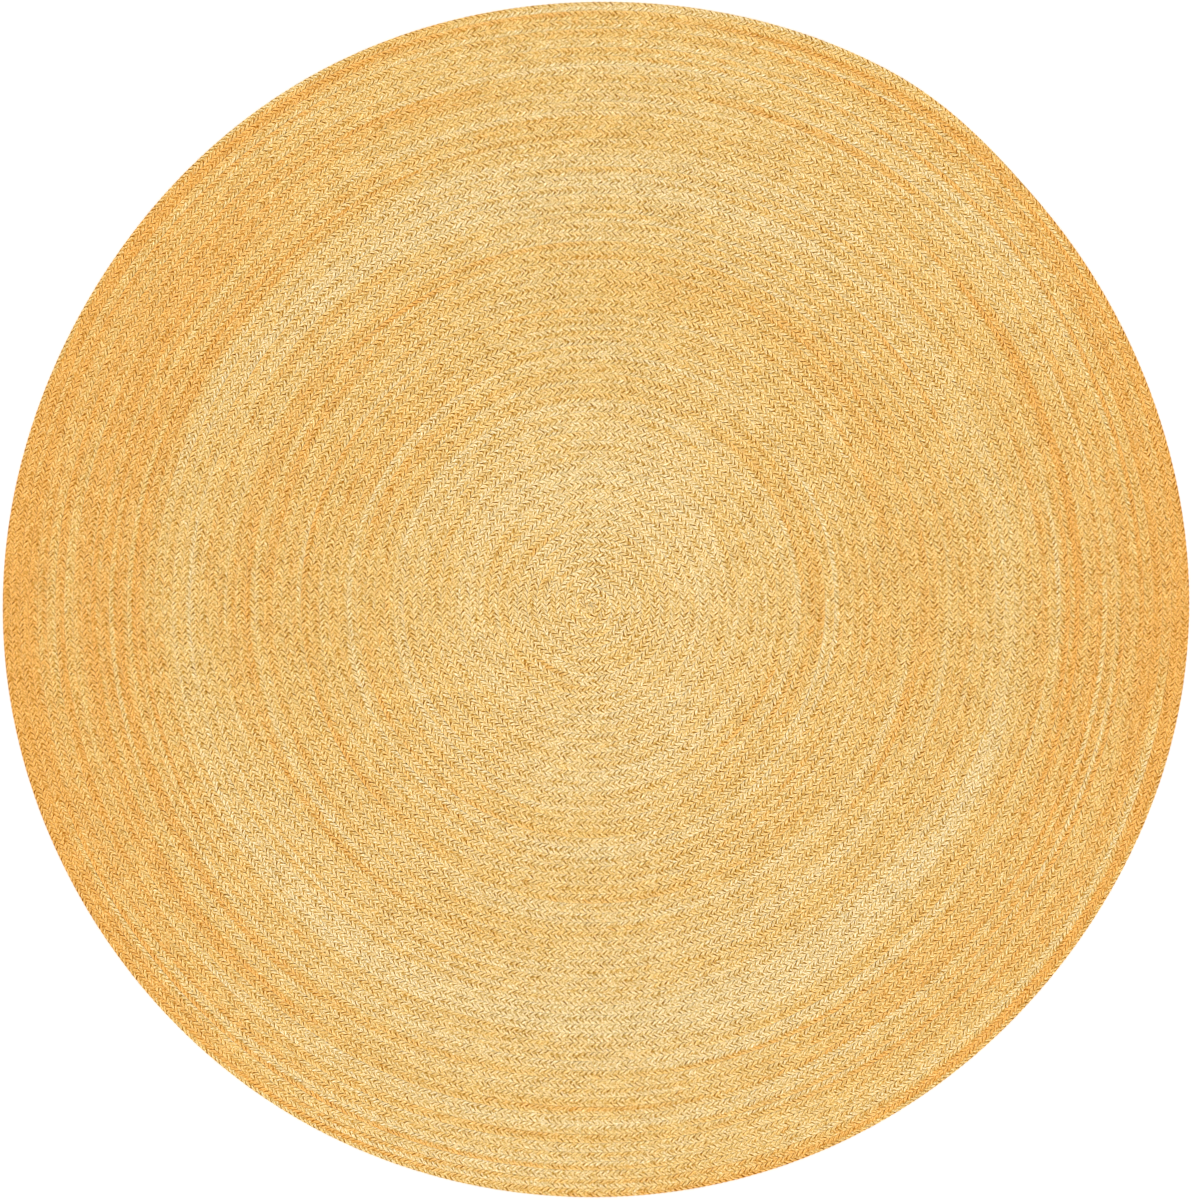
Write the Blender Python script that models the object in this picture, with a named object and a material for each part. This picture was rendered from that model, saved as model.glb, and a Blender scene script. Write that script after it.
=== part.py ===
"""Round jute rug: one long three-strand braid wound flat into a spiral and sewn edge to edge.

Metres, +Z up. The rug lies on z = 0 with the middle of its outline over the origin.
Azimuths run counter-clockwise from +X, and the braid winds outwards clockwise seen from above.
A place along the braid is given as its winding: the turns wound since the middle of the rug.
"""

import itertools
import math

import bmesh
import bpy

# Driving dimensions
RUG_DIAMETER = 1.829
RUG_THICKNESS = 0.008
BRAID_TURNS = 63
BRAID_WIDTH_AT_MIDDLE = 0.0150
SEAM_HEIGHT = 0.0052
RIM_HEIGHT = 0.0036
RIM_TUCK = 0.0016

# The outer end of the braid is narrowed to nothing and sewn to the turn inside it
END_AZIMUTH = math.radians(41)
END_TAPER_TURNS = 20 / 360

# Where the first turn lies, beside the middle of the outline
MIDDLE_SHIFT = (-0.0082, -0.0100)

# The outline is not a true circle: each row is a run of even waves round the rim
OUTLINE_WAVES = (
    {"waves": 1, "reach": 0.0044, "peak_azimuth": -39},
    {"waves": 2, "reach": 0.0055, "peak_azimuth": 62},
    {"waves": 5, "reach": 0.0014, "peak_azimuth": -18},
    {"waves": 6, "reach": 0.0015, "peak_azimuth": -3},
)

# Facets: how far a chord may cut inside the round, and the most turns one may span
CHORD_SAG = 0.0014
LONGEST_STEP_TURNS = 1 / 12

JUTE_COLOUR = (0.82, 0.53, 0.19, 1.0)
JUTE_ROUGHNESS = 0.85
SHARP_ANGLE = math.radians(40)


def clear_scene():
    for obj in list(bpy.data.objects):
        bpy.data.objects.remove(obj, do_unlink=True)


def wound_radius(winding):
    """Radius of the braid's inner edge, the braid being drawn tighter towards the rim."""
    rim = BRAID_TURNS + 0.5
    tighter = (RUG_DIAMETER / 2 - BRAID_WIDTH_AT_MIDDLE * rim) / rim**2
    return BRAID_WIDTH_AT_MIDDLE * winding + tighter * winding**2


def end_share(winding):
    """1 along the braid, falling smoothly to 0 over the tapered stretch at its outer end."""
    left = (BRAID_TURNS - winding) / END_TAPER_TURNS
    left = min(max(left, 0.0), 1.0)
    return left * left * (3 - 2 * left)


def edge_radius(winding):
    """Radius of the seam, or past the last winding that of the rim."""
    if winding <= BRAID_TURNS:
        return wound_radius(winding)
    seam = wound_radius(winding - 1)
    return seam + (wound_radius(winding) - seam) * end_share(winding - 1)


def crest_radius(winding):
    return (edge_radius(winding) + edge_radius(winding + 1)) / 2


def place(winding, radius, height):
    """A point at this winding, with the unevenness that grows from the middle to the rim."""
    azimuth = END_AZIMUTH + math.tau * (BRAID_TURNS - winding)
    out = 2 * radius / RUG_DIAMETER
    for row in OUTLINE_WAVES:
        swing = row["waves"] * (azimuth - math.radians(row["peak_azimuth"]))
        radius += row["reach"] * out**2 * math.cos(swing)
    x = radius * math.cos(azimuth) + MIDDLE_SHIFT[0] * (1 - out)
    y = radius * math.sin(azimuth) + MIDDLE_SHIFT[1] * (1 - out)
    return x, y, height


def windings(first, last, radius_at):
    """Stations from first to last, closer together in turns where the radius is larger.

    The last step takes up what is left, so it may be up to half as long again.
    """
    stations = [first]
    while True:
        radius = max(radius_at(stations[-1]), BRAID_WIDTH_AT_MIDDLE)
        step = min(math.sqrt(8 * CHORD_SAG / radius) / math.tau, LONGEST_STEP_TURNS)
        if stations[-1] + 1.5 * step >= last:
            return [*stations, last]
        stations.append(stations[-1] + step)


def seam_line(bm):
    """(winding, vertex) along the seam between the turns, out to the end of the braid."""
    line = []
    for winding in windings(0.0, BRAID_TURNS, edge_radius):
        height = SEAM_HEIGHT if winding < BRAID_TURNS else RIM_HEIGHT
        line.append((winding, bm.verts.new(place(winding, edge_radius(winding), height))))
    return line


def crest_line(bm, end_vertex):
    """(winding, vertex) along the top of the braid, which ends in the seam's last vertex."""
    line = []
    for winding in windings(0.0, BRAID_TURNS, crest_radius)[:-1]:
        height = RIM_HEIGHT + (RUG_THICKNESS - RIM_HEIGHT) * end_share(winding)
        line.append((winding, bm.verts.new(place(winding, crest_radius(winding), height))))
    return [*line, (BRAID_TURNS, end_vertex)]


def rim_line(bm, end_vertex):
    """(winding, vertex) once round the outer side of the last turn, back to its end."""
    line = [(BRAID_TURNS, end_vertex)]
    for winding in windings(BRAID_TURNS, BRAID_TURNS + 1, edge_radius)[1:-1]:
        line.append((winding, bm.verts.new(place(winding, edge_radius(winding), RIM_HEIGHT))))
    return [*line, (BRAID_TURNS + 1, end_vertex)]


def sew_strip(bm, inner, outer):
    """Faces between two lines walked side by side, each line a list of (winding, vertex)."""
    i = j = 0
    while i + 1 < len(inner) or j + 1 < len(outer):
        if j + 1 == len(outer) or (i + 1 < len(inner) and inner[i + 1][0] <= outer[j + 1][0]):
            corners = (inner[i][1], inner[i + 1][1], outer[j][1])
            i += 1
        else:
            corners = (inner[i][1], outer[j + 1][1], outer[j][1])
            j += 1
        if len(set(corners)) == 3:
            bm.faces.new(corners)


def close_middle(bm, first_turn, butt):
    """Fills the small eye inside the first turn, up to the butt end where the braid starts."""
    hub, *around = [vertex for _, vertex in first_turn] + [butt]
    for a, b in itertools.pairwise(around):
        bm.faces.new((hub, a, b))


def close_underside(bm, rim):
    """Tucks the rim in to the floor and closes the flat underside with one face."""
    loop = [vertex for _, vertex in rim[:-1]]
    foot = []
    for vertex in loop:
        out = vertex.co.xy.normalized() * RIM_TUCK
        foot.append(bm.verts.new((vertex.co.x - out.x, vertex.co.y - out.y, 0.0)))
    for k, vertex in enumerate(loop):
        after = (k + 1) % len(loop)
        bm.faces.new((vertex, loop[after], foot[after], foot[k]))
    bm.faces.new(foot)


def centre_outline(bm, rim):
    """Moves the rug so that the middle of its outline lies over the origin."""
    xs = [vertex.co.x for _, vertex in rim]
    ys = [vertex.co.y for _, vertex in rim]
    middle = ((min(xs) + max(xs)) / 2, (min(ys) + max(ys)) / 2, 0.0)
    bmesh.ops.translate(bm, verts=bm.verts, vec=[-value for value in middle])


def jute_material():
    material = bpy.data.materials.new("golden_jute")
    material.use_nodes = True
    shader = material.node_tree.nodes["Principled BSDF"]
    shader.inputs["Base Color"].default_value = JUTE_COLOUR
    shader.inputs["Roughness"].default_value = JUTE_ROUGHNESS
    shader.inputs["Metallic"].default_value = 0.0
    return material


def wound_braid():
    """The whole rug: the spiral of ribs on top, the rounded rim and the flat underside."""
    bm = bmesh.new()
    seam = seam_line(bm)
    end_vertex = seam[-1][1]
    crest = crest_line(bm, end_vertex)
    rim = rim_line(bm, end_vertex)
    sew_strip(bm, seam, crest)
    turn_end = next(k for k, (winding, _) in enumerate(seam) if winding >= 1)
    outer_edge = [(winding - 1, vertex) for winding, vertex in seam[turn_end:-1] + rim]
    sew_strip(bm, crest, outer_edge)
    close_middle(bm, seam[: turn_end + 1], crest[0][1])
    close_underside(bm, rim)
    centre_outline(bm, rim)
    bmesh.ops.recalc_face_normals(bm, faces=bm.faces)
    mesh = bpy.data.meshes.new("braided_rug")
    bm.to_mesh(mesh)
    bm.free()
    mesh.materials.append(jute_material())
    mesh.shade_smooth()
    mesh.set_sharp_from_angle(angle=SHARP_ANGLE)
    rug = bpy.data.objects.new("braided_rug", mesh)
    bpy.context.scene.collection.objects.link(rug)


clear_scene()
wound_braid()
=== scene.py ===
import math

import bmesh
import bpy
import numpy as np
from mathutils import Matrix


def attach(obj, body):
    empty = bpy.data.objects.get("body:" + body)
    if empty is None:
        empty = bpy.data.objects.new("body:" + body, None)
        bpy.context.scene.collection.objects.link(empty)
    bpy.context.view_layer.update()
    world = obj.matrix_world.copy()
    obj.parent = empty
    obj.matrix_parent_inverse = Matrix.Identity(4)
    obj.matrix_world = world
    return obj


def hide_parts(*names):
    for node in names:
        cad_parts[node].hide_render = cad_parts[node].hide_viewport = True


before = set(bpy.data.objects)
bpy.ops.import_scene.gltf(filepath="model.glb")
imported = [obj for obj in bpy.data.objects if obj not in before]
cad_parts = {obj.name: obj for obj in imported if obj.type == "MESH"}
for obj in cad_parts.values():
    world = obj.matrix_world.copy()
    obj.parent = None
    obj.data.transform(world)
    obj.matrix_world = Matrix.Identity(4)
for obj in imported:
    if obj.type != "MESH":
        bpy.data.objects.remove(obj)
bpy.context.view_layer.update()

# Round jute rug: one long three-strand braid, wound flat from the middle and sewn edge to edge.
# Metres, +Z up, the rug flat on z = 0. A place along the braid is its winding, the turns since
# the middle. The braid winds outwards clockwise seen from above.

rug = {
    "diameter": 1.829,
    "thickness": 0.008,
    "area": 2.62,
    "turns": 63,
    "widthAtMiddle": 0.0150,            # of the braid, which is drawn tighter towards the rim
    "startWinding": -0.75,              # the narrow start is tucked into the eye of the first turn
    "endAzimuth": math.radians(41),     # where the outer end is sewn down
    "endTaper": 20 / 360,               # turns over which it narrows to nothing
    "endHeight": 0.45,                  # and how much of its height is left there
    "middleShift": (-0.0082, -0.0100),  # the first turn lies beside the middle of the outline
    # the rim is no true circle: waves, reach, peak azimuth, measured on the photo's outline
    "outlineWaves": (
        (1, 0.0044, -39),
        (2, 0.0055, 62),
        (5, 0.0014, -18),
        (6, 0.0015, -3),
    ),
}


def woundRadius(winding):
    rim = rug["turns"] + 0.5
    tighter = (rug["diameter"] / 2 - rug["widthAtMiddle"] * rim) / rim**2
    return rug["widthAtMiddle"] * winding + tighter * winding**2


def endShare(winding):  # 1 along the braid, falling smoothly to 0 over its tapered end
    left = np.clip((rug["turns"] - winding) / rug["endTaper"], 0, 1)
    return left * left * (3 - 2 * left)


def edgeRadius(winding):  # of the braid's inner edge, and past the last turn of the rim
    seam = woundRadius(winding - 1)
    rim = seam + (woundRadius(winding) - seam) * endShare(winding - 1)
    return np.where(winding <= rug["turns"], woundRadius(np.maximum(winding, 0)), rim)


def azimuthOf(winding):
    return rug["endAzimuth"] + math.tau * (rug["turns"] - winding)


def wavyPlace(winding, radius):
    azimuth = azimuthOf(winding)
    out = 2 * radius / rug["diameter"]
    wavy = radius
    for waves, reach, peak in rug["outlineWaves"]:
        wavy = wavy + reach * out**2 * np.cos(waves * (azimuth - math.radians(peak)))
    x = wavy * np.cos(azimuth) + rug["middleShift"][0] * (1 - out)
    y = wavy * np.sin(azimuth) + rug["middleShift"][1] * (1 - out)
    return x, y


stepsPerTurn = 480
rimWinding = rug["turns"] + np.arange(stepsPerTurn + 1) / stepsPerTurn
rimX, rimY = wavyPlace(rimWinding, edgeRadius(rimWinding))
outlineMiddle = ((rimX.min() + rimX.max()) / 2, (rimY.min() + rimY.max()) / 2)


def braidPoint(winding, across):  # across in half widths, with the rug's outline over the origin
    inner = edgeRadius(winding)
    outer = edgeRadius(winding + 1)
    x, y = wavyPlace(winding, (inner + outer) / 2 + across * (outer - inner) / 2)
    return x - outlineMiddle[0], y - outlineMiddle[1]


# the braid's length from its start, measured along its middle, at even steps of winding
stepOfStart = round(rug["startWinding"] * stepsPerTurn)
tableWinding = np.arange(stepOfStart, rug["turns"] * stepsPerTurn + 1) / stepsPerTurn
tableRadius = (edgeRadius(tableWinding) + edgeRadius(tableWinding + 1)) / 2
tableStep = math.tau * (tableRadius[1:] + tableRadius[:-1]) / 2 / stepsPerTurn
tableLength = np.concatenate([[0], np.cumsum(tableStep)])
braidLength = float(tableLength[-1])


def windingAt(length):
    return np.interp(length, tableLength, tableWinding)


def lengthAt(winding):
    return np.interp(winding, tableWinding, tableLength)


dice = np.random.default_rng(seed=41)
spareKnots = 3      # past the last whole spacing


def drift(place, spacing, rows=1):  # smooth chance: a random level every spacing, for each row
    knots = int(np.max(place) / spacing) + spareKnots
    levels = dice.normal(0, 1, (rows, knots))
    return [np.interp(place / spacing, np.arange(knots), level) for level in levels]


jute = {
    "pale": (0.914, 0.738, 0.402),
    "golden": (0.896, 0.639, 0.247),
    "orange": (0.891, 0.507, 0.142),
    # tone by turn, 0 pale to 1 orange; these four lists are rounded by hand from averages that a
    # scratch program took of the photo
    "byTurn": (
        (0, 0.30), (5, 0.25), (13, 0.20), (19, 0.30), (23, 0.45), (35, 0.50), (41, 0.40), (44, 0.20),
        (47, 0.40), (53, 0.60), (63, 0.65),
    ),
    # painted sheen: how much paler the top and the bottom are and more orange both the left and the
    # right, then how much more orange the far side and the left are, by turn
    "sheenTopAndBottom": ((0, 0.02), (10, 0.06), (35, 0.12), (63, 0.25)),
    "farSide": ((15, -0.03), (35, 0.07)),
    "left": ((0, 0.02), (45, 0.04), (63, 0.07)),
    # chance streaks along each half of the braid: how strong, and how many turns from one level to
    # the next, then how much stronger they are by turn
    "streakKinds": ((0.115, 0.25), (0.10, 0.045)),
    "streakGrowth": ((0, 0.80), (20, 0.95), (36, 1.10), (50, 1.35), (63, 1.60)),
    "streakStep": 0.01,                 # turns between the places where they are worked out
    "streakEnds": 12,                   # degrees over which one of the listed streaks comes and goes
    "strandDrift": (0.07, 0.35),        # each strand's own change of tone, and metres it takes
    "strokeTone": 0.06,                 # differences between one visible length of strand and the next
    "strokeShade": 0.025,
    "gapShade": (0.15, 0.030, 0.0),          # painted shade: what the colour is multiplied by at the bottom of a gap
    "gapSideShade": (0.60, 0.42, 0.12),      # and halfway up its sides
    "gapShadeReach": (0.12, 0.96),           # share without painted shade at which it is deepest, and where it is gone
    "splitShade": 0.62,                      # how light the painted shade is along the line where a strand parts in two
    "splitEvery": 0.5,                  # in pitches
    "splitWidth": 0.09,                 # in pitches
    "splitWiggle": 0.0010,
    "plySize": (0.0014, 0.0036),        # each strand is a bundle of loose plies: across and along it
    "plyDetail": 1.0,
    "plyTone": 0.14,
    "plyDark": (0.78, 0.68, 0.20),      # partly their own tone, partly painted shade and light as they lie lower or higher: what the colour is multiplied by on the darkest
    "plyLight": (1.18, 1.26, 1.68),     # and the lightest of them
    "plyGapShading": (0.28, 0.45),            # the part of their noise over which the painted shade in the gaps between them fades as the gaps close
    "plyGapShade": 0.40,                 # how light that painted shade is
    "plyCross": (0.52, 0.68),           # the part in which they come to lie across a strand's gap
    "plyOver": 0.8,                     # and how far they fill it, lifting its painted shade
    "fibreSize": (0.0005, 0.0060),
    "fibreTone": 0.10,
    "fibreShade": (0.84, 1.14),
    "fibreRelief": 0.00016,
    "mottleSize": 0.011,
    "mottleTone": 0.05,
    "noiseDetail": 2.0,                 # of the fibres and the mottle
    "roughness": (0.72, 0.92),
    "sheen": (0.02, 0.5),               # how much, and how rough
    "specular": 0.05,
}

# the clearest streaks, each along one half of the braid: the turn that its middle lies on, from and
# to degrees past the braid's end going with the braid, and the change of tone; a scratch program
# found them in the photo's pixels, and the list was thinned and rounded by hand
pale = -0.33
orange = 0.33
streaks = (
    (4.75, 60, 120, orange),
    (7.25, 150, 180, orange),
    (7.25, 260, 290, orange),
    (14.75, 10, 40, orange),
    (18.75, 110, 140, pale),
    (19.75, 60, 90, orange),
    (19.75, 240, 300, pale),
    (20.25, 160, 200, pale),
    (23.25, 230, 320, orange),
    (24.25, 40, 90, pale),
    # one pale strand most of the way round
    (24.75, 200, 360, pale),
    (25.25, 0, 100, pale),
    (25.75, 100, 160, pale),
    (25.25, 160, 210, pale),
    # a pale ring
    (43.25, 250, 320, pale),
    (43.75, 130, 190, pale),
    (44.25, 100, 140, pale),
    (44.75, 110, 170, pale),
    (50.75, 0, 60, orange),
    (51.25, 10, 140, orange),
    (51.25, 200, 240, orange),
    (54.75, 110, 170, pale),
    (59.25, 10, 60, orange),
    (60.25, 200, 250, orange),
    # the orange rim
    (61.25, 0, 70, orange),
    (61.25, 190, 360, orange),
    (61.75, 0, 120, orange),
    (61.75, 160, 310, orange),
    (62.25, 60, 120, orange),
    (62.25, 150, 300, orange),
)

driftTurns = np.arange(0, rug["turns"] + 1, jute["streakStep"])
chanceStreaks = [(strength, drift(driftTurns, apart, rows=2)) for strength, apart in jute["streakKinds"]]


def byTurn(name, turn):
    return np.interp(turn, *zip(*jute[name]))


def toneAt(winding, side):  # side 0 is the inner half of the braid and 1 the outer half
    turn = winding + 0.25 + 0.5 * side  # the halves' middles lie at 1/4 and 3/4 of its width
    azimuth = azimuthOf(winding)
    # the term with twice the azimuth is a painted sheen: paler at the top and bottom, more orange at the
    # left and right
    tone = byTurn("byTurn", turn) + byTurn("sheenTopAndBottom", turn) * np.cos(2 * azimuth)
    tone = tone + byTurn("farSide", turn) * np.sin(azimuth) - byTurn("left", turn) * np.cos(azimuth)
    for strength, levels in chanceStreaks:
        inner, outer = (np.interp(winding, driftTurns, level) for level in levels)
        tone = tone + strength * byTurn("streakGrowth", turn) * np.where(side > 0.5, outer, inner)
    past = (winding % 1) * 360
    halfTurn = 2 * np.floor(winding) + (side > 0.5)
    for at, first, last, change in streaks:  # half come and half gone at the listed degrees
        starts = np.clip((past - first) / jute["streakEnds"] + 0.5, 0, 1)
        ends = np.clip((last - past) / jute["streakEnds"] + 0.5, 0, 1)
        tone = tone + change * starts * ends * (halfTurn == math.floor(2 * at))
    return tone


def node(tree, kind, inputs=None, **settings):
    made = tree.nodes.new("ShaderNode" + kind)
    for key, value in settings.items():
        setattr(made, key, value)
    for key, value in (inputs or {}).items():
        socket = made.inputs[key]
        if isinstance(value, bpy.types.NodeSocket):
            tree.links.new(value, socket)
        else:
            socket.default_value = value
    return made


def mapRange(tree, value, source, target, smooth=False):
    inputs = dict(zip(("Value", "From Min", "From Max", "To Min", "To Max"), (value, *source, *target)))
    kind = "SMOOTHSTEP" if smooth else "LINEAR"
    return node(tree, "MapRange", inputs, interpolation_type=kind).outputs["Result"]


def calc(tree, operation, a, b):
    return node(tree, "Math", {0: a, 1: b}, operation=operation).outputs[0]


def fromNearest(tree, place, every):  # how far it is to the nearest of lines this far apart
    return calc(tree, "PINGPONG", place, every / 2)


def between(tree, share, low, high):  # two colours, which a mix takes in its sockets 6 and 7
    inputs = {0: share, 6: (*low, 1), 7: (*high, 1)}
    return node(tree, "Mix", inputs, data_type="RGBA").outputs[2]


def amongThree(tree, share, low, middle, high):
    ramp = node(tree, "ValToRGB", {"Fac": share})
    ramp.color_ramp.elements[0].color = (*low, 1)
    ramp.color_ramp.elements[1].color = (*high, 1)
    ramp.color_ramp.elements.new(position=0.5).color = (*middle, 1)
    return ramp.outputs["Color"]


def timesColour(tree, a, b):
    return node(tree, "VectorMath", {0: a, 1: b}, operation="MULTIPLY").outputs[0]


def noise(tree, place, size, detail):  # size along each axis of the map
    stretch = (1 / size[0], 1 / size[1], 1 / size[-1])
    place = node(tree, "Mapping", {"Vector": place, "Scale": stretch}).outputs["Vector"]
    return node(tree, "TexNoise", {"Vector": place, "Scale": 1.0, "Detail": detail}).outputs["Fac"]


noiseReach = (0.3, 0.7)     # most of a noise's values lie in between
white = (1, 1, 1)


def juteFinish(name, drawn=None):  # drawn: how the strands are drawn on a plain strip
    material = bpy.data.materials.new(name)
    material.use_nodes = True
    tree = material.node_tree
    shader = tree.nodes["Principled BSDF"]
    tone = node(tree, "Attribute", attribute_name="tone").outputs["Fac"]
    shade = node(tree, "Attribute", attribute_name="shade").outputs["Fac"]
    # painted shade in gaps and creases: 1 where there is none, 0 at the bottom of a gap
    unshadedShare = node(tree, "Attribute", attribute_name="unshaded").outputs["Fac"]
    strand = node(tree, "UVMap", uv_map="strand").outputs["UV"]
    place = node(tree, "TexCoord").outputs["Object"]
    fibre = noise(tree, strand, jute["fibreSize"], jute["noiseDetail"])
    ply = noise(tree, strand, jute["plySize"], jute["plyDetail"])
    mottle = noise(tree, place, (jute["mottleSize"],) * 3, jute["noiseDetail"])

    for made, key, sign in ((fibre, "fibreTone", 1), (mottle, "mottleTone", 1), (ply, "plyTone", -1)):
        change = mapRange(tree, made, noiseReach, (-sign * jute[key], sign * jute[key]))
        tone = calc(tree, "ADD", tone, change)
    colour = amongThree(tree, tone, jute["pale"], jute["golden"], jute["orange"])

    run, aside = node(tree, "SeparateXYZ", {0: strand}).outputs[:2]
    wiggle = mapRange(tree, ply, noiseReach, (-jute["splitWiggle"], jute["splitWiggle"]))
    along = calc(tree, "DIVIDE", calc(tree, "ADD", run, wiggle), pitch)
    fromSplit = fromNearest(tree, along, jute["splitEvery"])
    # the line where a strand parts in two: a dip in the bump, and painted shade along it
    whole = mapRange(tree, fromSplit, (0.0, jute["splitWidth"]), (jute["splitShade"], 1.0), smooth=True)
    relief = calc(tree, "ADD", fibre, whole)
    if drawn:  # strands that slant away from the middle of the strip to both sides
        halfPitchOn = calc(tree, "MULTIPLY", calc(tree, "GREATER_THAN", aside, 0.0), 0.5)
        aside = calc(tree, "ABSOLUTE", aside, 0.0)
        run = calc(tree, "ADD", run, calc(tree, "MULTIPLY", aside, drawn["slant"]))
        stroke = calc(tree, "ADD", calc(tree, "DIVIDE", run, pitch), halfPitchOn)
        # painted shade in the drawn gaps between the strands
        fromGap = fromNearest(tree, stroke, every=1)
        drawnUnshaded = mapRange(tree, fromGap, (0.0, drawn["gapWidth"]), (drawn["drawnGapShade"], 1.0), smooth=True)
        unshadedShare = calc(tree, "MINIMUM", unshadedShare, drawnUnshaded)
        relief = calc(tree, "ADD", fibre, calc(tree, "MULTIPLY", drawnUnshaded, drawn["relief"]))

    # painted shade: the colour darkens towards the gap colours in the gaps, along split lines and
    # between plies
    unshadedShare = mapRange(tree, unshadedShare, jute["gapShadeReach"], (0.0, 1.0), smooth=True)
    crossing = mapRange(tree, ply, jute["plyCross"], (0.0, jute["plyOver"]))
    unshadedShare = calc(tree, "MAXIMUM", unshadedShare, crossing)
    # painted shade along the split lines of the braid's face
    if not drawn:
        unshadedShare = calc(tree, "MULTIPLY", unshadedShare, whole)
    # painted shade in the gaps between plies
    plyUnshaded = mapRange(tree, ply, jute["plyGapShading"], (jute["plyGapShade"], 1.0))
    unshadedShare = calc(tree, "MULTIPLY", unshadedShare, plyUnshaded)
    light = calc(tree, "MULTIPLY", shade, mapRange(tree, fibre, noiseReach, jute["fibreShade"]))
    colour = node(tree, "VectorMath", {0: colour, "Scale": light}, operation="SCALE").outputs[0]
    colour = timesColour(tree, colour, amongThree(tree, unshadedShare, jute["gapShade"], jute["gapSideShade"], white))
    # plies lighter and darker: their own tone, and painted shade and light
    plies = mapRange(tree, ply, noiseReach, (0.0, 1.0))
    colour = timesColour(tree, colour, between(tree, plies, jute["plyDark"], jute["plyLight"]))
    tree.links.new(colour, shader.inputs["Base Color"])

    tree.links.new(mapRange(tree, fibre, noiseReach, jute["roughness"]), shader.inputs["Roughness"])
    bump = node(tree, "Bump", {"Height": relief, "Strength": 1.0, "Distance": jute["fibreRelief"]})
    tree.links.new(bump.outputs["Normal"], shader.inputs["Normal"])
    shader.inputs["Sheen Weight"].default_value = jute["sheen"][0]
    shader.inputs["Sheen Roughness"].default_value = jute["sheen"][1]
    shader.inputs["Specular IOR Level"].default_value = jute["specular"]
    return material


braid = {
    "pieces": 5,                # lengths that its face is made in, each a mesh of its own
    "pitch": 0.0086,            # from one strand to the next on the same side
    "bunching": (0.0011, 0.05), # how far strands bunch up and spread, and over how many metres
    "plainEnd": 0.1,            # metres at each end where they bunch up less
    "strandShift": 0.0005,      # how far a strand lies out of its even place along the braid
    "heightJitter": 0.00030,
    "gapShadeJitter": 0.60,          # how much the painted shade differs from gap to gap
    "openFrom": (5.0, 7.0),     # heights in millimetres between which jute goes from shade to light
    "gapShadeFading": ((0, 0), (44, 0), (63, 0.12)),   # how much lighter the painted shade in the gaps gets, by turn
    "topFrom": 4.5,             # height in millimetres above which a row is seen
    "sideGapShade": 0.3,             # how light the painted shade in the gaps is below it
    # rows across the braid, each with its gap, shoulder, crest and shoulder along the braid,
    # the right half half a pitch behind the left; the last two rows are the hidden foot
    "across": (                 # in half widths
        (-0.97, -1.00, -1.00, -0.99),
        (-0.50, -0.54, -0.55, -0.53),
        (-0.16, 0.00, 0.16, 0.00),
        (0.55, 0.53, 0.50, 0.54),
        (1.00, 0.99, 0.97, 1.00),
        (0.80, 0.80, 0.80, 0.80),
        (-0.80, -0.80, -0.80, -0.80),
    ),
    "height": (                 # in millimetres
        (6.5, 7.3, 7.7, 7.2),
        (4.9, 7.3, 7.9, 7.0),
        (7.3, 5.7, 7.3, 5.7),
        (7.9, 7.0, 4.9, 7.3),
        (7.7, 7.2, 6.5, 7.3),
        (4.4, 4.4, 4.4, 4.4),
        (4.4, 4.4, 4.4, 4.4),
    ),
    "lag": (1.0, 0.52, 0.0, 0.52, 1.0, 0.0, 0.0),   # pitches behind the strand's tip at the middle
    "lagStart": 2,              # pitches at the braid's start over which the lag sets in
    "rightFrom": 0.3,           # rows further across than this are on the right half
    "seamRows": (0, 4),         # rows that lie against the next turn
    "tightTurns": 8,            # the first turns, which bend the most
    "footStep": (1, 4),         # pitches from one point of the foot to the next, in them and after
    # the map to export: the braid laid out in rows, and where each row across lies in one
    "layoutRows": 40,
    "bakeRows": (0.03, 0.22, 0.41, 0.60, 0.79, 0.83, 0.93, 0.97),
    "bakeMargin": 0.002,
    # the map of the strands, which starts again after each block of stations
    "strandReach": 0.011,       # metres of strand from the middle of the braid to its edge
    "strandBack": 1.8,          # half widths at which the map has gone once round the braid
    "strandBlock": 400,         # in stations
    "blockAside": 0.37,         # metres from one block's map to the next one's
}
middleRow = 2
footRows = 2
millimetres = 1000      # in a metre

stationsPerPitch = 4
halfPitch = stationsPerPitch // 2
pitchCount = round(braidLength / braid["pitch"])
pitch = braidLength / pitchCount
stationCount = pitchCount * stationsPerPitch
stationLength = np.arange(stationCount + 1) / stationCount * braidLength
fromEnds = np.minimum(stationLength, braidLength - stationLength)
bunched = drift(stationLength, braid["bunching"][1])[0] * braid["bunching"][0]
bunched = bunched * np.clip(fromEnds / braid["plainEnd"], 0, 1)
stationLength = stationLength + bunched

# chance for every visible length of strand, the same whichever piece it lies in
spareStrokes = 8
strokeCount = 2 * pitchCount + spareStrokes
crestJitter = dice.normal(0, 1, strokeCount)
shadeJitter = dice.normal(0, 1, strokeCount)
toneJitter = dice.normal(0, 1, strokeCount)
gapShadeJitter = dice.uniform(0, 1, strokeCount)
shiftJitter = dice.uniform(-1, 1, strokeCount)
strandTone = drift(np.arange(strokeCount) * pitch / 2, jute["strandDrift"][1], rows=3)


def strokeOf(wholeStation, onRight):  # counted along the braid, left and right by turns
    return 2 * ((wholeStation + halfPitch * onRight) // stationsPerPitch) + onRight


def strip(name, columns, rows):  # a flat grid, and the column and row of each of its points
    shape = bmesh.new()
    bmesh.ops.create_grid(shape, x_segments=columns, y_segments=rows, size=0.5)  # half its width
    mesh = bpy.data.meshes.new(name)
    shape.to_mesh(mesh)
    shape.free()
    mesh.shade_smooth()
    points = np.empty(len(mesh.vertices) * 3)
    mesh.vertices.foreach_get("co", points)
    points = points.reshape(-1, 3)
    column = np.rint((points[:, 0] + 0.5) * columns).astype(int)
    row = np.rint((points[:, 1] + 0.5) * rows).astype(int)
    return mesh, column, row


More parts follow.
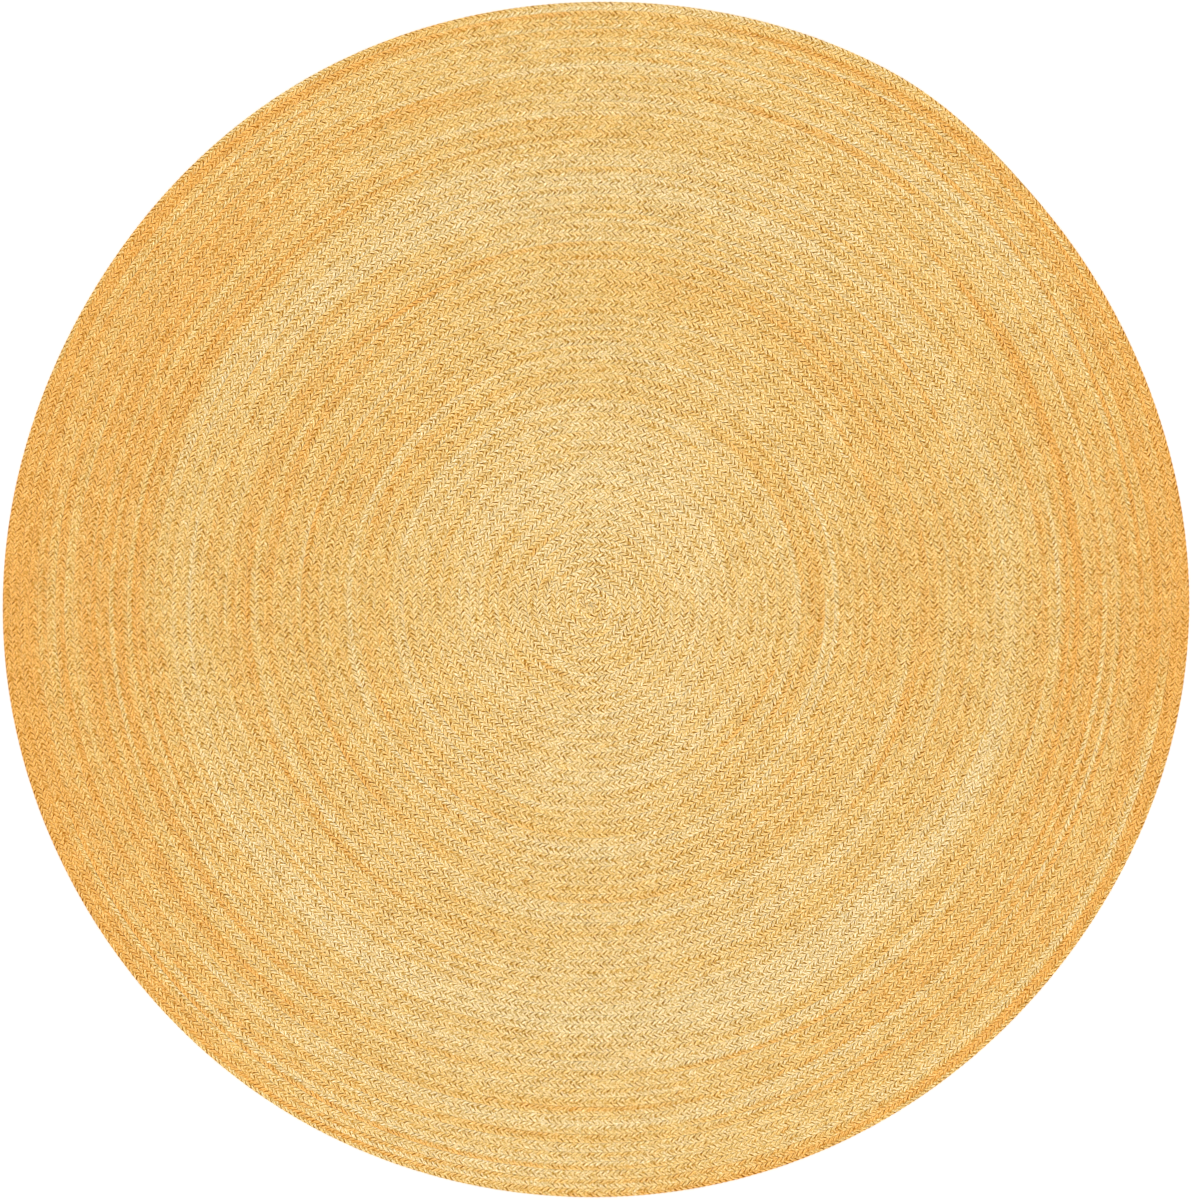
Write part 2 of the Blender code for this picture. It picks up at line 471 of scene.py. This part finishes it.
def corners(mesh, column, row):  # column and row of each face's four corners
    at = np.empty(len(mesh.loops), dtype=int)
    mesh.loops.foreach_get("vertex_index", at)
    return column[at].reshape(-1, 4), row[at].reshape(-1, 4)


def setPoints(mesh, x, y, z):
    mesh.vertices.foreach_set("co", np.stack([x, y, z], axis=-1).ravel())


def setPaint(mesh, name, values, domain="FACE"):
    mesh.attributes.new(name, "FLOAT", domain).data.foreach_set("value", values.astype(np.float32))


def setMap(mesh, name, u, v):
    layer = mesh.uv_layers.new(name=name)
    layer.uv.foreach_set("vector", np.stack([u, v], axis=-1).astype(np.float32).ravel())


def setBakeMap(mesh, section, columns, cornerColumn, cornerRow):
    perRow = math.ceil(columns / section["layoutRows"])
    layoutRow = cornerColumn.min(axis=1, keepdims=True) // perRow
    margin = braid["bakeMargin"]
    u = margin + (1 - 2 * margin) * (cornerColumn - layoutRow * perRow) / perRow
    v = (layoutRow + np.array(section["bakeRows"])[cornerRow]) / section["layoutRows"]
    setMap(mesh, "OFBake", u, v)


weldDistance = 1e-6


def rollUp(mesh):  # welds the first and last rows and the foot, and closes the two ends
    shape = bmesh.new()
    shape.from_mesh(mesh)
    bmesh.ops.remove_doubles(shape, verts=shape.verts, dist=weldDistance)
    bmesh.ops.holes_fill(shape, edges=[edge for edge in shape.edges if edge.is_boundary], sides=0)
    bmesh.ops.recalc_face_normals(shape, faces=shape.faces)
    shape.to_mesh(mesh)
    shape.free()


def addPiece(mesh, material):
    piece = bpy.data.objects.new(mesh.name, mesh)
    bpy.context.scene.collection.objects.link(piece)
    mesh.materials.append(material)
    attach(piece, "root")
    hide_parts("braided_rug")
    return piece


def shapeBraid(mesh, section, whole, row):
    rows = len(section["across"])
    rowOf = row % rows
    phase = whole % stationsPerPitch
    isFoot = rowOf >= rows - footRows
    isTight = windingAt(stationLength[whole]) < braid["tightTurns"]
    footStep = stationsPerPitch * np.where(isTight, *braid["footStep"])
    fromFirst = whole - whole.min()
    footStation = np.where(whole == whole.max(), whole, whole - fromFirst % footStep)
    length = stationLength[np.where(isFoot, footStation, whole)]
    share = endShare(windingAt(length))

    across = np.array(section["across"])
    onRight = across[rowOf, 0] > braid["rightFrom"]
    stroke = strokeOf(whole, onRight)
    lag = np.array(section["lag"])[rowOf] * pitch - braid["strandShift"] * shiftJitter[stroke] * ~isFoot
    fade = np.clip(length / (braid["lagStart"] * pitch), 0, 1) * share
    winding = windingAt(np.clip(length - lag * fade, 0, braidLength))
    x, y = braidPoint(winding, across[rowOf, phase])

    z = np.array(section["height"])[rowOf, phase]
    onTop = z > braid["topFrom"]
    inGap = phase == np.where(onRight, halfPitch, 0)
    # painted shade: the lower a point lies, the darker its colour, most of all in the gaps
    low, high = braid["openFrom"]
    unshadedShare = np.clip((z - low) / (high - low), 0, 1)
    gapShadeFading = np.interp(winding, *zip(*braid["gapShadeFading"]))
    unshadedShare = unshadedShare + (1 - unshadedShare) * (braid["gapShadeJitter"] * gapShadeJitter[stroke] + gapShadeFading)
    unshadedShare = np.where(onTop, unshadedShare, np.where(inGap, braid["sideGapShade"], 1.0))
    setPaint(mesh, "unshaded", unshadedShare, "POINT")
    z = z / millimetres + crestJitter[stroke] * braid["heightJitter"] * (onTop & ~inGap)
    z = np.minimum(z, rug["thickness"]) * (rug["endHeight"] + (1 - rug["endHeight"]) * share)
    setPoints(mesh, x, y, z)


def paintBraid(mesh, section, wholeCorners, cornerRow):
    whole = wholeCorners.min(axis=1)
    row = cornerRow.min(axis=1)
    onRight = (row >= middleRow) & (row < len(section["across"]) - footRows)
    stroke = strokeOf(whole, onRight)
    tone = toneAt(windingAt(stationLength[whole]), onRight)
    tone = tone + jute["strokeTone"] * toneJitter[stroke]
    tone = tone + jute["strandDrift"][0] * np.choose(stroke % 3, [level[stroke] for level in strandTone])
    setPaint(mesh, "tone", tone)
    setPaint(mesh, "shade", 1 + jute["strokeShade"] * shadeJitter[stroke])


def creaseBraid(mesh, section, whole, row):  # the gaps, the zigzag at the middle and the seams
    ends = np.empty(len(mesh.edges) * 2, dtype=int)
    mesh.edges.foreach_get("vertices", ends)
    ends = ends.reshape(-1, 2)
    lowRow = row[ends].min(axis=1)
    crosses = whole[ends[:, 0]] == whole[ends[:, 1]]
    phase = whole[ends[:, 0]] % stationsPerPitch
    lastRow = len(section["across"]) - footRows - 1
    leftGap = crosses & (lowRow < middleRow) & (phase == 0)
    rightGap = crosses & (lowRow >= middleRow) & (lowRow < lastRow) & (phase == halfPitch)
    lengthwise = ~crosses & np.isin(lowRow, (middleRow, *section["seamRows"]))
    isSharp = leftGap | rightGap | lengthwise
    mesh.attributes.new("sharp_edge", "BOOLEAN", "EDGE").data.foreach_set("value", isSharp)


def braidStrip(name, section, first, last):
    rows = len(section["across"])
    mesh, column, row = strip(name, last - first, rows)
    cornerColumn, cornerRow = corners(mesh, column, row)
    shapeBraid(mesh, section, column + first, row)
    paintBraid(mesh, section, cornerColumn + first, cornerRow)
    creaseBraid(mesh, section, column + first, row)
    # the fibres follow the strands, and the blocks keep the map's numbers small
    block = cornerColumn.min(axis=1, keepdims=True) // braid["strandBlock"]
    u = (cornerColumn - braid["strandBlock"] * block) * pitch / stationsPerPitch
    reach = np.append(np.array(section["across"])[:, 0], braid["strandBack"]) * braid["strandReach"]
    setMap(mesh, "strand", u, reach[cornerRow] + braid["blockAside"] * block)
    setBakeMap(mesh, section, last - first, cornerColumn, cornerRow)
    rollUp(mesh)
    return mesh


# the outermost turn: the same face, and outside it the round side down to the floor
rim = {
    "startTurns": 61.99,        # just short of where the narrowed end runs out beside it
    # its inner edge is pushed under the turn inside it, which stands higher where the end narrows
    "across": ((-1.02, -1.04, -1.04, -1.03),) + braid["across"][1:3] + (
        (0.62, 0.60, 0.56, 0.60),
        (0.92, 0.88, 0.80, 0.88),
        (1.00, 0.97, 0.88, 0.97),
        (0.96, 0.94, 0.87, 0.94),
        (0.76, 0.76, 0.76, 0.76),
        (-0.72, -0.72, -0.72, -0.72),
    ),
    "height": braid["height"][:4] + (
        (6.4, 5.8, 4.5, 6.0),
        (3.6, 3.6, 3.6, 3.6),
        (1.6, 1.6, 1.6, 1.6),
        (0.0, 0.0, 0.0, 0.0),
        (0.0, 0.0, 0.0, 0.0),
    ),
    "lag": (1.0, 0.52, 0.0, 0.55, 0.9, 1.15, 1.35, 0.0, 0.0),
    "seamRows": (0,),
    "layoutRows": 14,
    "bakeRows": (0.03, 0.17, 0.29, 0.41, 0.53, 0.64, 0.72, 0.79, 0.92, 0.97),
}

juteFace = juteFinish("jute_face")
rimPitch = int(np.searchsorted(stationLength, lengthAt(rim["startTurns"]))) // stationsPerPitch
cuts = np.linspace(0, rimPitch, braid["pieces"] + 1).round().astype(int) * stationsPerPitch
for k in range(braid["pieces"]):
    mesh = braidStrip("braid_face_%d" % (k + 1), braid, int(cuts[k]), int(cuts[k + 1]))
    addPiece(mesh, juteFace)
    print("face of the braid, length", k + 1, "of", braid["pieces"])

addPiece(braidStrip("braid_rim", rim, int(cuts[-1]), stationCount), juteFace)
print("rim turn")

# the underside, a flat strip that the strands are drawn on, with painted shade in the drawn gaps and
# towards its top edges
underside = {
    "stationsPerTurn": 64,
    "across": (-0.99, 0.99, 0.74, -0.74),   # in half widths: its two edges, then its flat foot
    "height": (4.4, 4.4, 0.0, 0.0),         # in millimetres
    "shade": 0.95,
    "slant": 1.19,                          # of a strand: how far it runs for each step aside
    "gapWidth": 0.22,                       # in pitches
    "drawnGapShade": 0.40,                        # how light the painted shade is in the drawn gaps and up the sides of the braid
    "relief": 6.0,                          # times that of the fibres
    "strandReach": 0.007,
    "strandBack": -1.0,                     # half widths at which the map has gone once round
    "strandBlock": 64,                      # pitches after which the map of the strands starts again
    "layoutRows": 40,
    "bakeRows": (0.02, 0.30, 0.48, 0.80, 0.98),
}


def undersideStrip(name, section):
    rows = len(section["across"])
    start = rug["startWinding"]
    count = int((rim["startTurns"] - start) * section["stationsPerTurn"])
    mesh, column, row = strip(name, count, rows)
    across = np.array(section["across"])
    z = np.array(section["height"])[row % rows] / millimetres
    setPoints(mesh, *braidPoint(start + column / section["stationsPerTurn"], across[row % rows]), z)
    # painted shade: the points at its top edges are darker
    setPaint(mesh, "unshaded", np.where(z == 0, 1.0, section["drawnGapShade"]), "POINT")

    cornerColumn, cornerRow = corners(mesh, column, row)
    cornerWinding = start + cornerColumn / section["stationsPerTurn"]
    faceWinding = cornerWinding.min(axis=1)
    setPaint(mesh, "tone", toneAt(faceWinding, side=0.5))
    setPaint(mesh, "shade", np.full(len(faceWinding), section["shade"]))
    run = lengthAt(cornerWinding)
    blockLength = section["strandBlock"] * braid["pitch"]
    block = np.floor(run.min(axis=1, keepdims=True) / blockLength) * blockLength
    reach = np.append(across, section["strandBack"]) * section["strandReach"]
    setMap(mesh, "strand", run - block, reach[cornerRow])
    setBakeMap(mesh, section, count, cornerColumn, cornerRow)
    rollUp(mesh)
    return mesh


foot = addPiece(undersideStrip("braid_underside", underside), juteFinish("jute_underside", underside))
print("underside of the braid")

studio = {
    "floorSize": 14.0,
    "floorDrop": 0.0002,
    "floorColour": (0.90, 0.90, 0.90, 1),
    "floorRoughness": 0.9,
    "skyStrength": 1.05,
    # soft suns: strength, spread, tilt from upright, azimuth they come from
    "lamps": ((0.60, 70, 35, 90), (0.60, 70, 35, 270)),
    "cameraHeight": 6.0,
    "aim": (0.0008, -0.0008),       # the rug lies a little off the middle of the picture
    "seenHeight": 1.8434,           # metres from the top to the bottom of the picture
    "sensor": 36.0,
}

floorShape = bmesh.new()
bmesh.ops.create_grid(floorShape, x_segments=1, y_segments=1, size=studio["floorSize"] / 2)
bmesh.ops.translate(floorShape, verts=floorShape.verts, vec=(0, 0, -studio["floorDrop"]))
floorMesh = bpy.data.meshes.new("studio_floor")
floorShape.to_mesh(floorMesh)
floorShape.free()
floor = bpy.data.objects.new("studio_floor", floorMesh)
bpy.context.scene.collection.objects.link(floor)
floorFinish = bpy.data.materials.new("studio_floor")
floorFinish.use_nodes = True
floorShader = floorFinish.node_tree.nodes["Principled BSDF"]
floorShader.inputs["Base Color"].default_value = studio["floorColour"]
floorShader.inputs["Roughness"].default_value = studio["floorRoughness"]
floorMesh.materials.append(floorFinish)

for k, (strength, spread, tilt, azimuth) in enumerate(studio["lamps"]):
    lamp = bpy.data.lights.new("soft_lamp_%d" % (k + 1), "SUN")
    lamp.energy = strength
    lamp.angle = math.radians(spread)
    holder = bpy.data.objects.new(lamp.name, lamp)
    holder.rotation_euler = (0, math.radians(tilt), math.radians(azimuth))
    bpy.context.scene.collection.objects.link(holder)

sky = bpy.data.worlds.new("studio")
sky.use_nodes = True
sky.node_tree.nodes["Background"].inputs["Color"].default_value = (*white, 1)
sky.node_tree.nodes["Background"].inputs["Strength"].default_value = studio["skyStrength"]
bpy.context.scene.world = sky
bpy.context.scene.view_settings.view_transform = "Standard"

cameraData = bpy.data.cameras.new("camera")
cameraData.sensor_width = studio["sensor"]
cameraData.lens = studio["sensor"] * studio["cameraHeight"] / studio["seenHeight"]
camera = bpy.data.objects.new("camera", cameraData)
camera.location = (*studio["aim"], studio["cameraHeight"])
bpy.context.scene.collection.objects.link(camera)
bpy.context.scene.camera = camera
print("studio")
